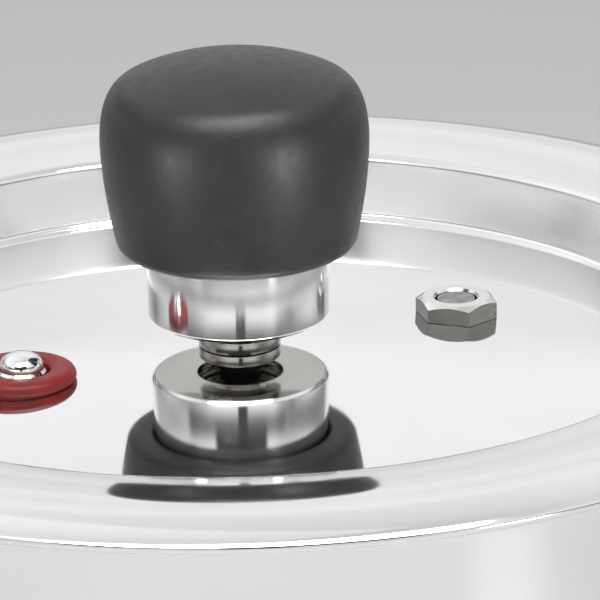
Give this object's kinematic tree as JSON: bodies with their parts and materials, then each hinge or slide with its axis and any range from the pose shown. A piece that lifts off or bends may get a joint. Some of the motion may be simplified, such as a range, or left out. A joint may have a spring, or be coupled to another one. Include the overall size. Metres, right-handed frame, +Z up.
{
  "type": "stovetop pressure cooker",
  "caption": "Stainless steel stovetop pressure cooker with a deep lugged lid, a lift-off whistle weight, a pressure indicator, a fusible plug and straight handles.",
  "frame": {"origin": "centre of the underside of the pot's base, where it stands on the hob", "axes": "+Z up along the pot's axis, +X along the lid's handle with the lid unlocked"},
  "size_m": [0.3554, 0.198, 0.1623],
  "materials": {
    "mirror_steel": "mirror-polished stainless steel",
    "satin_steel": "satin stainless steel",
    "dark_steel": "turned steel, darkened",
    "aluminium": "plain",
    "brass": "turned",
    "fusible_alloy": "dull grey metal",
    "charcoal_plastic": "fine matte moulded",
    "black_plastic": "satin moulded",
    "red_silicone": "satin",
    "pale_silicone": "satin"
  },
  "bodies": {
    "pot": {"pot_shell": "mirror_steel", "base_cap": "satin_steel", "base_disc": "aluminium", "pot_handle_bracket": "satin_steel", "pot_handle": "black_plastic", "pot_handle_ferrule": "satin_steel", "pot_handle_screw": "satin_steel", "helper_bracket": "satin_steel", "helper_handle": "black_plastic", "helper_screw": "satin_steel"},
    "gasket": {"lid_gasket": "pale_silicone"},
    "lid": {"lid_shell": "mirror_steel", "lid_handle_strap": "satin_steel", "lid_handle": "black_plastic", "lid_handle_screw_front": "satin_steel", "lid_handle_screw_rear": "satin_steel", "vent_tube": "dark_steel", "vent_nut": "dark_steel", "vent_seal": "pale_silicone", "plug_body": "dark_steel", "plug_alloy": "fusible_alloy", "plug_seal": "red_silicone", "plug_nut": "satin_steel", "indicator_bush": "red_silicone"},
    "weight": {"weight_core": "dark_steel", "weight_needle": "satin_steel", "weight_sleeve": "mirror_steel", "weight_clip": "dark_steel", "weight_insert": "brass", "weight_knob": "charcoal_plastic"},
    "indicator": {"indicator_pin": "mirror_steel", "indicator_clip": "satin_steel"}
  },
  "joints": [
    {"name": "lid_lift", "type": "slide", "parent": "pot", "child": "gasket", "axis": [0, 0, 1], "range_m": [0, 0.16]},
    {"name": "lid_turn", "type": "hinge", "parent": "gasket", "child": "lid", "pos_m": [0, 0, 0.1158], "axis": [0, 0, 1], "range_deg": [-22.5, 0]},
    {"name": "weight_lift", "type": "slide", "parent": "lid", "child": "weight", "axis": [0, 0, 1], "range_m": [0, 0.03]},
    {"name": "indicator_rise", "type": "slide", "parent": "lid", "child": "indicator", "axis": [0, 0, 1], "range_m": [0, 0.003]}
  ]
}
